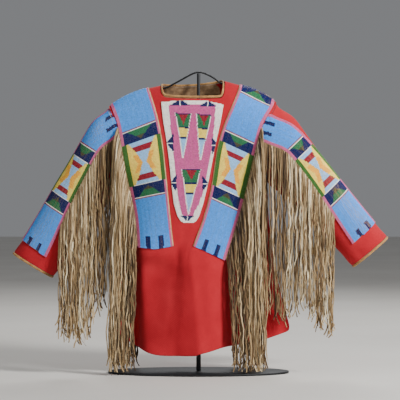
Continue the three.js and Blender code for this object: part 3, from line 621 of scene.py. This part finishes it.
def run_on(bm, end, edge):
    """Lengthens a sleeve's strip at its armhole end until it meets the edge of the shoulder's strip."""
    rim = [v for v in bm.verts if v.is_boundary]
    start = {v for v in rim if min((v.co - at).length for at in end) < 0.001 * MM}
    rims = [e for e in bm.edges if e.is_boundary and start.issuperset(e.verts)]
    added = bmesh.ops.extrude_edge_only(bm, edges=rims)["geom"]
    line = np.array(sorted((at.z, at.x) for at in edge if at.y < -6 * MM))
    for v in (v for v in added if isinstance(v, bmesh.types.BMVert)):
        meeting = np.interp(v.co.z, line[:, 0], line[:, 1])
        meeting += math.copysign(ARMHOLE_GAP * MM, v.co.x)
        if abs(meeting) < abs(v.co.x):
            v.co.x = meeting
    bm.normal_update()


def in_order(bm):
    """Sorts a mesh's points and faces by place, because extruding leaves them in another order each run."""
    way = Vector((1, 3.7, 13.1))
    bm.verts.sort(key=lambda v: v.co.dot(way))
    bm.faces.sort(key=lambda part: part.calc_center_median().dot(way))


def beaded_strip(node, rows_of, plain, front_first, seed, meets=()):
    """The hide of a strip and the beads on it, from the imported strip's outer face.

    front_first says whether a long edge runs the pattern's way, from its two ends. meets is the edge that
    the strip runs on to.
    """
    base = finished(node + "_hide", face_of(node), hide, levels=2)
    bm = bmesh.new()
    bm.from_mesh(base.data)
    first, last, ends = long_edges(bm, front_first)
    if meets:
        run_on(bm, ends[0], meets)
        bmesh.ops.remove_doubles(bm, verts=bm.verts, dist=0.01 * MM)
        in_order(bm)
        first, last, ends = long_edges(bm, front_first)
    tree = BVHTree.FromBMesh(bm)
    spots, colours = ([], [], []), []
    for line, across, row in rows_of(first, last, ends, plain):
        way = Vector(across).normalized()
        for j, (at, colour) in enumerate(zip(line, row)):
            spot, out, _, _ = tree.find_nearest(at)
            lift = SWELL * math.sin(math.pi * ((j % LANE) + 0.5) / LANE) - SWELL
            spots[0].append(spot + out * lift * MM)
            spots[1].append((way - out * way.dot(out)).normalized())
            spots[2].append(out)
            colours.append(colour)
    strung = string_beads(node + "_beads", spots, colours, seed)
    beads = finished(node + "_beads", strung, glass)
    area = sum(part.calc_area() for part in bm.faces)
    length = np.mean([np.linalg.norm(np.diff(np.array(e), axis=0), axis=1).sum() for e in (first, last)])
    for v in bm.verts:
        v.co -= v.normal * HIDE["sunk"] * MM
    bmesh.ops.solidify(bm, geom=bm.faces, thickness=HIDE["thick"] * MM)
    in_order(bm)
    bm.to_mesh(base.data)
    bm.free()
    base.data.shade_smooth()
    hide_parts(node)
    carrier = "shirt_front" if "shoulder" in node else "sleeve_cloth_" + node.split("_")[-1]
    return first, last


cloth_bm = bmesh.new()
for node in ("panel_front", "panel_back", "sleeve_left", "sleeve_right"):
    cloth_bm.from_mesh(nodes[node].data)
cloth_tree = BVHTree.FromBMesh(cloth_bm)
cloth_bm.free()

hide = smoked_hide("smoked_hide", "#C9A87C", "#B28C60", "#94714A")
glass = bead_glass()
strip_edges = {}  # the edge that each strip's fringe is cut from
for n, hand in enumerate(("left", "right")):
    node, plain = f"shoulder_strip_{hand}", PLAIN_TOPS[hand]
    both = beaded_strip(node, shoulder_rows, plain, lambda a, b: a.y < b.y, 11 + n)
    meets = max(both, key=lambda edge: abs(sum(p.x for p in edge)))
    strip_edges[f"shoulder_{hand}"] = meets
    node, plain = f"sleeve_strip_{hand}", PLAIN_ENDS[hand]
    both = beaded_strip(node, sleeve_rows, plain, lambda a, b: a.z > b.z, 21 + n, meets)
    strip_edges[f"sleeve_{hand}"] = min(both, key=lambda edge: sum(p.z for p in edge))

# The bib hangs below the neck opening: the same beads on a tapered piece of hide with a rounded end.
# A white border holds pairs of small navy points, and three tapering windows stand in its pink field.
BIB_SIDES = (  # mm in the front view
    # z, left edge, right edge
    (421, -41, -14),
    (426, -50, -6),
    (440, -59, 2),
    (473, -69, 13),
    (531, -76, 27),
    (595, -82, 39),
    (660, -91, 52),
    (700, -98, 61),
    (750, -104, 70),
)
BIB_TOP = ((-105, 757), (-45, 762.5), (24, 760), (70, 750))  # x, z of the corners of its top edge
BIB_FIELD = (  # the pink field inside the white border
    # z, left edge, right edge
    (441, -43, -16),
    (447, -46, -14),
    (469, -52, -1),
    (500, -58, 10),
    (547, -64, 20),
    (593, -67, 29),
    (640, -71, 38),
    (700, -79, 44),
    (748, -82, 47),
)
BIB_WINDOWS = (
    # top left x, z, top right x, z, point x, z
    (-63, 724, -21, 723, -43, 603),
    (-5, 722, 35, 718, 5, 599),
    (-45, 569, 5, 569, -28, 447),
)
WINDOW_RIM = {"beyond": 1, "side": 2.4, "tip": 0.03}  # a window's white rim: mm, mm and share of its height
# A window's bands, with the mm down from its top to the end of each. The rest is pale blue.
WINDOW_BANDS = ((1.8, "navy"), (36, "leaf"), (40.5, "navy"), (65, "corn"), (70, "navy"))
WINDOW_TRIANGLE = (0.33, 32)  # the wine triangle in the leaf band: share of the window's width, and mm tall
BIB_ROWS = (422.5, 760)  # heights of the lowest and highest rows
BIB_POINTS = (
    # middle x, z, half length along the edge, height, and the way that it points
    (-52, 755, 24, 15, "up"),
    (26, 751, 22, 15, "up"),
    (-79, 642, 22, 16, "left"),
    (45, 635, 20, 14, "right"),
    (-70, 531, 20, 15, "left"),
    (19, 530, 18, 14, "right"),
    (-31, 433, 17, 15, "down"),
)


def window_colour(x, z, window):
    """The colour inside a window, None outside it."""
    left_x, left_z, right_x, right_z, point_x, point_z = window
    t = (z - point_z) / ((left_z + right_z) / 2 - point_z)
    low, high = point_x + (left_x - point_x) * t, point_x + (right_x - point_x) * t
    side, tip = WINDOW_RIM["side"], WINDOW_RIM["tip"]
    top = left_z + (right_z - left_z) * (x - left_x) / (right_x - left_x)
    down = top - z
    if down < -WINDOW_RIM["beyond"] or t < -tip or x < low - side or x > high + side:
        return None
    if x < low or x > high or t < tip:
        return "white"
    colour = next((name for end, name in WINDOW_BANDS if down < end), "pale")
    share, tall = WINDOW_TRIANGLE
    middle = (left_x + right_x) / 2
    if colour == "leaf" and abs(x - middle) < (high - low) * share * (1 - down / tall):
        return "wine"
    return colour


def bib_colour(x, z, field):
    """The bib's colour at a place in the front view; field is the pink field's two edges there."""
    for at_x, at_z, reach, tall, way in BIB_POINTS:
        along, up = (x - at_x, z - at_z) if way in ("up", "down") else (z - at_z, x - at_x)
        up = up if way in ("up", "right") else -up
        if 0 < up + tall / 2 + 1.4 < tall * (1 - abs(along) / reach) + 2.8:
            return "white" if abs(along) < 1.4 else "navy"
    if not (field[0] < x < field[1] and BIB_FIELD[0][0] < z < BIB_FIELD[-1][0]):
        return "white"
    for window in BIB_WINDOWS:
        inside = window_colour(x, z, window)
        if inside:
            return inside
    return "pink"


bib_hide = finished("bib_hide", face_of("bib"), hide, levels=1)
bm = bmesh.new()
bm.from_mesh(bib_hide.data)
tree = BVHTree.FromBMesh(bm)
spots, colours = ([], [], []), []
table, fields = np.array(BIB_SIDES, float), np.array(BIB_FIELD, float)
for z in np.arange(*BIB_ROWS, BEAD["pitch"]):
    left, right = (np.interp(z, table[:, 0], table[:, k]) for k in (1, 2))
    field = [np.interp(z, fields[:, 0], fields[:, k]) for k in (1, 2)]
    count = round((right - left - 1) / BEAD["pitch"])
    for j in range(count):
        x = left + 0.5 + (j + 0.5) * (right - left - 1) / count
        top = np.interp(x, *zip(*BIB_TOP))
        spot, out, _, _ = tree.ray_cast(Vector((x, -120, z)) * MM, Vector((0, 1, 0)))
        if spot is None or z > top - 1:
            continue
        lie = Vector((1, 0, 0))
        lie = (lie - out * lie.dot(out)).normalized()
        lift = SWELL * math.sin(math.pi * ((j % LANE) + 0.5) / LANE) - SWELL
        spots[0].append(spot + out * lift * MM)
        spots[1].append(lie)
        spots[2].append(out)
        colours.append(bib_colour(x, z, field))
bib_beads = finished("bib_beads", string_beads("bib_beads", spots, colours, 31), glass)
for v in bm.verts:
    v.co -= v.normal * HIDE["sunk"] * MM
bmesh.ops.solidify(bm, geom=bm.faces, thickness=HIDE["thick"] * HIDE["bib"] * MM)
in_order(bm)
bm.to_mesh(bib_hide.data)
bm.free()
bib_hide.data.shade_smooth()
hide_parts("bib")
flat = (0.176, 0.35)

# Hide tape is folded over the raw edges of the neck and cuffs and sewn through with sinew.
# Inside the back of the neck a wider piece of brown hide faces the cloth, polished by wear.
TAPE = {"fill": 0.75, "wander": 0.45}  # mm that rounding takes off a fold of tape, and its unevenness
TUCK = {"deep": 2.6, "over": 34}  # mm that the facing's upper edge is tucked under the tape, fading down
tape_hide = smoked_hide("dark_smoked_hide", "#C0935A", "#A57A46", "#825C34")
noise.seed_set(3)  # without a seed, noise_vector starts from the clock
for place in ("neck", "cuff_left", "cuff_right"):
    edge, _, hand = place.partition("_")
    node = f"{edge}_binding_{hand}".strip("_")
    shape = quads(merged(node))
    tape = finished(node.replace("binding", "tape"), shape, tape_hide, [node], levels=3)
    points = places(tape)
    wander = np.array([noise.noise_vector(Vector(p / 9)) for p in points])
    out = np.array([v.normal for v in tape.data.vertices])
    move_to(tape, points + out * TAPE["fill"] + wander * TAPE["wander"])
brown = smoked_hide("worn_brown_hide", "#AC8C66", "#8C6E4C", "#5E4630")
node = "neck_facing"
lining = finished("back_neck_facing", quads(merged(node)), brown, [node], levels=2)
points = places(lining)
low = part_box("neck_facing")[0][2] / MM
points[:, 2] += TUCK["deep"] * np.clip((points[:, 2] - low) / TUCK["over"], 0, 1)
move_to(lining, points)

# The long fringe is cut from the hide of the strips: along their outer edges over the shoulders,
# and along their lower edges on the sleeves. Each strand is a thong about 4 mm wide, twisted as it dried.
# The strands fall plumb, some clinging together, and the longest reach down beside the stand.
THONG = {"wide": 4.6, "thick": 1.7, "steps": 40}
TWIST = {"turn": 14, "wave": 0.5}  # radians down a strand, at most
TAPER = {"root": 1.05, "lost": 0.35, "narrow": 0.75, "broad": 1.15}  # shares of a thong's width
WELT = 0.85  # the welt's width as a share of a thong's
BEND_OUT = {"most": 60, "share": 0.35}  # how far below its root a strand hangs in its lane: mm, and share
KINK = 0.75  # mm, the spread of a strand's small kinks
CURL = {"most": 11, "share": 0.08}  # mm that a tip curls aside, and over what share of the strand
TONES = ("#EAD9B4", "#CDB389", "#AA8D63", "#7E6342", "#54402A")  # of the strands, palest first
TONE_SHARES = (0.18, 0.28, 0.26, 0.18, 0.1)
BENDS = ((3.4, 4.8), (2.0, 14), (1.3, 30))  # a strand's slow and quick bends: mm, and turns of phase down it
SHOULDER_FRINGE = {
    # hand: strands in front and behind, the height of the lowest root, how far out the lowest and highest
    # strands hang, and the heights of the lowest and highest tips
    "left": {"front": 104, "back": 70, "from": 340, "out": (3, 30), "tips": (10, 74)},
    "right": {"front": 108, "back": 70, "from": 312, "out": (13, 9), "tips": (10, 60)},
}
TOP_ROOT = 690  # height of the highest root
CROWDING = 0.72  # below 1, more strands are cut near the shoulder than low down beside the chest
LANES = (66, 84)  # mm from the shirt's middle to where the shoulders' strands fall, in front and behind
CLUMPS = {"count": 16, "cling": 0.35}  # strands that others cling to, and how much nearer they draw
SLEEVE_STRANDS = 124
SLEEVE_TIPS = {  # share along the fringe and the height of the tips there
    "left": ((0, 232), (0.2, 196), (0.45, 104), (0.7, 96), (1, 122)),
    "right": ((0, 218), (0.2, 150), (0.5, 196), (0.75, 140), (1, 118)),
}


def thong_hide():
    """Thongs of smoked hide: each a little lighter or darker than the next, pale where its edges rub."""
    material, shader = surface("smoked_hide_thongs", 0.84, Sheen_Weight=0.12, Sheen_Roughness=0.6)
    shader.inputs["Specular IOR Level"].default_value = 0.3
    # Each strand's colour: a tone at random, with painted shade on the first strands of each edge.
    own = add(material, "VertexColor", layer_name="thong_colour")
    at = add(material, "TexCoord")
    # Scuffs run along a thong, about 2.4 mm wide and 17 mm long.
    drawn = add(material, "Mapping", {"Vector": (at, "Object"), "Scale": (1, 1, 0.14)})
    rubs = {"Vector": (drawn, "Vector"), "Scale": 420.0, "Detail": 4.0, "Roughness": 0.65}
    scuffs = add(material, "TexNoise", rubs)
    marks = ramp(material, (scuffs, "Fac"), ((0.32, "#8C8C8C"), (0.6, "#FFFFFF")))
    both = {"Factor": 0.7, 6: (own, "Color"), 7: (marks, "Color")}
    mixed = add(material, "Mix", both, data_type="RGBA", blend_type="MULTIPLY")
    join(material, mixed, 2, shader, "Base Color")
    bump = add(material, "Bump", {"Height": (scuffs, "Fac"), "Strength": 0.6, "Distance": 0.0006})
    join(material, bump, "Normal", shader, "Normal")
    return material


def thong_path(rng, root, lane_x, lane_y, tip_z):
    """A strand's line: out from its root, then plumb with slow bends, its tip curling a little."""
    drop = root[2] - tip_z
    t = np.linspace(0, 1, THONG["steps"]) ** 1.15
    fall = min(BEND_OUT["most"], drop * BEND_OUT["share"]) / drop
    out = np.clip(t / fall, 0, 1)
    out = out * (2 - out)
    x = root[0] + (lane_x - root[0]) * (0.3 * out + 0.7 * t)
    y = root[1] + (lane_y - root[1]) * out
    loose = np.clip((t - 0.04) * 4, 0, 1) * min(1, drop / 400)
    for size, waves in BENDS:
        phase_x, phase_y, more = rng.uniform(0, 6.3), rng.uniform(0, 6.3), rng.uniform(0.6, 1.4)
        x = x + loose * size * more * np.sin(waves * more * t + phase_x)
        y = y + loose * size * 0.8 * more * np.sin(waves * more * t + phase_y)
    kinks = rng.normal(0, KINK, (2, THONG["steps"]))
    x, y = x + loose * kinks[0], y + loose * kinks[1]
    curl = np.clip((t - 1) / CURL["share"] + 1, 0, 1) ** 2
    x = x + curl * rng.uniform(-CURL["most"], CURL["most"])
    return np.stack([x, y, root[2] - drop * t], axis=1)


def fringe(name, node, paths, welt, seed, painted_shade_steps):
    """All the strands of one edge and the narrow welt that they are cut from, in one piece.

    The first paths are darkened by a given number of steps of tone at most: painted shade, standing in for
    the shade beside a shoulder's strip low down and near the armhole.
    """
    rng = np.random.default_rng(seed)
    curve = bpy.data.curves.new(name, "CURVE")
    curve.dimensions = "3D"
    curve.bevel_mode = "OBJECT"
    curve.bevel_object = thong_section
    curve.use_fill_caps = True
    for line in [*paths, welt]:
        spline = curve.splines.new("POLY")
        spline.points.add(len(line) - 1)
        spline.points.foreach_set("co", np.column_stack([np.array(line) * MM, np.ones(len(line))]).ravel())
        strand = line is not welt
        start = rng.uniform(0, 6.3)
        turn = rng.uniform(-TWIST["turn"], TWIST["turn"]) if strand else 0
        width = rng.uniform(TAPER["narrow"], TAPER["broad"]) if strand else WELT
        for k, point in enumerate(spline.points):
            t = k / (len(line) - 1)
            point.tilt = start + turn * t + (TWIST["wave"] * math.sin(9 * t + start) if strand else 0)
            point.radius = width * (TAPER["root"] - TAPER["lost"] * t) if strand else width
    raw = bpy.data.objects.new(name + "_curve", curve)
    bpy.context.scene.collection.objects.link(raw)
    graph = bpy.context.evaluated_depsgraph_get()
    mesh = bpy.data.meshes.new_from_object(raw.evaluated_get(graph))
    bpy.data.objects.remove(raw)
    tones = rng.choice(len(TONES), len(paths) + 1, p=TONE_SHARES).astype(float)
    # Painted shade: the first strands' tones are stepped darker, for the shade that falls on them beside the
    # strip and at the armhole.
    tones += painted_shade_steps * np.clip(1 - 2.4 * np.arange(len(tones)) / len(tones), 0, 1)
    tones = np.rint(tones).clip(0, len(TONES) - 1).astype(int)
    shades = np.repeat(np.array([linear(tone) for tone in TONES])[tones], 4 * THONG["steps"], axis=0)
    # The caps at a strand's ends have points too, so the tones move on along the strands, and a strand may
    # change its tone once part-way down. The points left over at the end take the middle tone.
    left_over = len(mesh.vertices) - len(shades)
    shades = np.vstack([shades, np.tile(linear(TONES[2]), (left_over, 1))])
    layer = mesh.color_attributes.new("thong_colour", "FLOAT_COLOR", "POINT")
    layer.data.foreach_set("color", shades.ravel())
    bm = bmesh.new()
    bm.from_mesh(mesh)
    bpy.data.meshes.remove(mesh)
    bmesh.ops.recalc_face_normals(bm, faces=bm.faces)
    piece = finished(name, bm, thong_material, [node])
    piece.data.set_sharp_from_angle(angle=math.radians(55))


section = bpy.data.curves.new("thong_section", "CURVE")
section.dimensions = "2D"
outline = section.splines.new("POLY")
outline.points.add(3)
for corner, (u, v) in zip(outline.points, ((-0.5, -0.35), (0.5, -0.5), (0.5, 0.35), (-0.5, 0.5))):
    corner.co = (u * THONG["wide"] * MM, v * THONG["thick"] * MM, 0, 1)
outline.use_cyclic_u = True
thong_section = bpy.data.objects.new("thong_section", section)
bpy.context.scene.collection.objects.link(thong_section)
thong_material = thong_hide()

for hand, sizes in SHOULDER_FRINGE.items():
    far = -1 if hand == "left" else 1
    outer = np.array(strip_edges[f"shoulder_{hand}"]) / MM
    for side, facing in (("front", -1), ("back", 1)):
        rng = np.random.default_rng({"left": 40, "right": 50}[hand] + facing)
        height = outer[:, 2]
        edge = outer[(outer[:, 1] * facing > 6) & (height > sizes["from"]) & (height < TOP_ROOT)]
        edge = edge if edge[0, 2] < edge[-1, 2] else edge[::-1]
        count = sizes[side]
        shares = ((np.arange(count) + 0.5) / count) ** CROWDING
        roots = evenly(edge, shares) + (far * 2.2, facing * -0.6, 0)
        clumps = rng.choice(roots[:, 0], CLUMPS["count"]) + far * 6
        paths = []
        for share, root in zip(shares, roots):
            x = root[0] + far * (np.interp(share, (0, 1), sizes["out"]) + rng.uniform(-5, 6))
            near = clumps[np.argmin(np.abs(clumps - x))]
            x += CLUMPS["cling"] * (near - x)
            y = facing * rng.uniform(*LANES)
            low, high = sizes["tips"]
            tip = low + (high - low) * rng.uniform(0, 1) ** 1.4
            paths.append(thong_path(rng, root, x, y, tip))
        welt = evenly(edge, np.linspace(0.01, 0.99, THONG["steps"])) + (far * 1.6, facing * -1.2, 0)
        # The last argument darkens the strands rooted lowest beside the strip, as painted shade.
        fringe(f"shoulder_fringe_{side}_{hand}", f"fringe_{side}_{hand}", paths, welt, 60 + facing, 2.2)

for hand, tips in SLEEVE_TIPS.items():
    rng = np.random.default_rng({"left": 70, "right": 80}[hand])
    shares = (np.arange(SLEEVE_STRANDS) + 0.5) / SLEEVE_STRANDS
    edge = evenly(np.array(strip_edges[f"sleeve_{hand}"]) / MM, np.linspace(0.01, 0.77, 40))
    roots = evenly(edge, shares) + (0, -0.6, -1.8)
    tip_shares, tip_heights = zip(*tips)
    paths = []
    for share, root in zip(shares, roots):
        tip = np.interp(share, tip_shares, tip_heights) + rng.uniform(-22, 30)
        paths.append(thong_path(rng, root, root[0] + rng.uniform(-6, 6), root[1] - rng.uniform(1, 12), tip))
    welt = evenly(edge, np.linspace(0.01, 0.99, THONG["steps"])) + (0, 0.4, -1.4)
    # The last argument darkens the strands nearest the armhole, as painted shade.
    fringe(f"sleeve_fringe_{hand}", f"fringe_sleeve_{hand}", paths, welt, 90, 1.6)
bpy.data.objects.remove(thong_section)

# The stand is black iron: an oval plate, a post screwed into it, a thinner rod in the post,
# and a bent rod across its top whose arms run inside the shoulders. All of it has a satin black coat.


def black_iron():
    """Mild steel with a satin black coat, brushed on thinly and rubbed grey in places."""
    material, shader = surface("black_painted_iron", 0.42, Metallic=0.35)
    at = add(material, "TexCoord")
    worn = {"Vector": (at, "Object"), "Scale": 70.0, "Detail": 6.0, "Roughness": 0.7}
    rub = add(material, "TexNoise", worn)
    colour = ramp(material, (rub, "Fac"), ((0.35, "#0E0F11"), (0.62, "#1B1C1F"), (0.8, "#34363A")))
    join(material, colour, "Color", shader, "Base Color")
    rough = add(material, "MapRange", {"Value": (rub, "Fac"), "To Min": 0.3, "To Max": 0.6})
    join(material, rough, "Result", shader, "Roughness")
    brushed = add(material, "TexNoise", {"Vector": (at, "Object"), "Scale": 500.0, "Detail": 3.0})
    bump = add(material, "Bump", {"Height": (brushed, "Fac"), "Strength": 0.25, "Distance": 0.0003})
    join(material, bump, "Normal", shader, "Normal")
    return material


def turned(name, node, radius_x, radius_y, low, high, edge, sides):
    """A round plate or bar with its rim eased."""
    bm = bmesh.new()
    bmesh.ops.create_cone(bm, cap_ends=True, segments=sides, radius1=1, radius2=1, depth=high - low)
    bmesh.ops.scale(bm, vec=(radius_x, radius_y, 1), verts=bm.verts)
    bmesh.ops.translate(bm, vec=(0, 0, (low + high) / 2), verts=bm.verts)
    rims = [e for e in bm.edges if abs(e.verts[0].co.z - e.verts[1].co.z) < 1e-6]
    bmesh.ops.bevel(bm, geom=rims, offset=edge, segments=3, profile=0.5, affect="EDGES", material=-1)
    bmesh.ops.scale(bm, vec=(MM, MM, MM), verts=bm.verts)
    piece = finished(name, bm, iron, [node])
    piece.data.set_sharp_from_angle(angle=math.radians(40))


iron = black_iron()
turned("oval_base_plate", "stand_base", 253, 102, 0, 6, 1.2, 128)
turned("lower_post", "stand_post", 6.5, 6.5, 6.4, 430, 1.2, 32)
turned("upper_rod", "stand_rod", 4.6, 4.6, 430.4, 838.3, 0.9, 32)
finished("hanger_arms", quads(merged("stand_hanger")), iron, ["stand_hanger"], levels=1)

# The shirt stands on a plain pale floor in soft studio light.
# The camera is level, half a metre up and four and a half metres away, as in the picture.
bm = bmesh.new()
bmesh.ops.create_grid(bm, x_segments=2, y_segments=2, size=14)
floor_mesh = bpy.data.meshes.new("studio_floor")
bm.to_mesh(floor_mesh)
bm.free()
floor = bpy.data.objects.new("studio_floor", floor_mesh)
bpy.context.scene.collection.objects.link(floor)
pale, shader = surface("pale_floor_paint", 0.7)
at = add(pale, "TexCoord")
cloud = add(pale, "TexNoise", {"Vector": (at, "Object"), "Scale": 1.5, "Detail": 3.0})
tint = ramp(pale, (cloud, "Fac"), ((0.3, "#CFCBC4"), (0.7, "#D8D5CE")))
join(pale, tint, "Color", shader, "Base Color")
floor_mesh.materials.append(pale)


def softbox(name, place, aim, size, power):
    """A rectangular light at a place, turned towards another."""
    lamp = bpy.data.lights.new(name, "AREA")
    lamp.shape = "RECTANGLE"
    lamp.size, lamp.size_y = size
    lamp.energy = power
    light = bpy.data.objects.new(name, lamp)
    light.location = place
    light.rotation_euler = (Vector(aim) - Vector(place)).to_track_quat("-Z", "Y").to_euler()
    bpy.context.scene.collection.objects.link(light)


softbox("key", (2.5, -2.1, 2.5), (0, 0, 0.5), (0.9, 0.9), 225)
softbox("fill", (-2.2, -3.2, 1.6), (0, 0, 0.45), (1.8, 1.8), 24)
softbox("back", (0.4, 2.6, 2.6), (0, 0, 0.5), (2.0, 1.2), 60)
world = bpy.data.worlds.new("studio")
world.use_nodes = True
world.node_tree.nodes["Background"].inputs["Color"].default_value = linear("#DADCE0")
world.node_tree.nodes["Background"].inputs["Strength"].default_value = 0.3
bpy.context.scene.world = world

lens = bpy.data.cameras.new("camera")
lens.lens = 144.6
lens.sensor_width = 36
lens.shift_y = -0.0179
camera = bpy.data.objects.new("camera", lens)
camera.location = (0.004, -4.5, 0.504)
camera.rotation_euler = (math.radians(90), 0, 0)
bpy.context.scene.collection.objects.link(camera)
bpy.context.scene.camera = camera
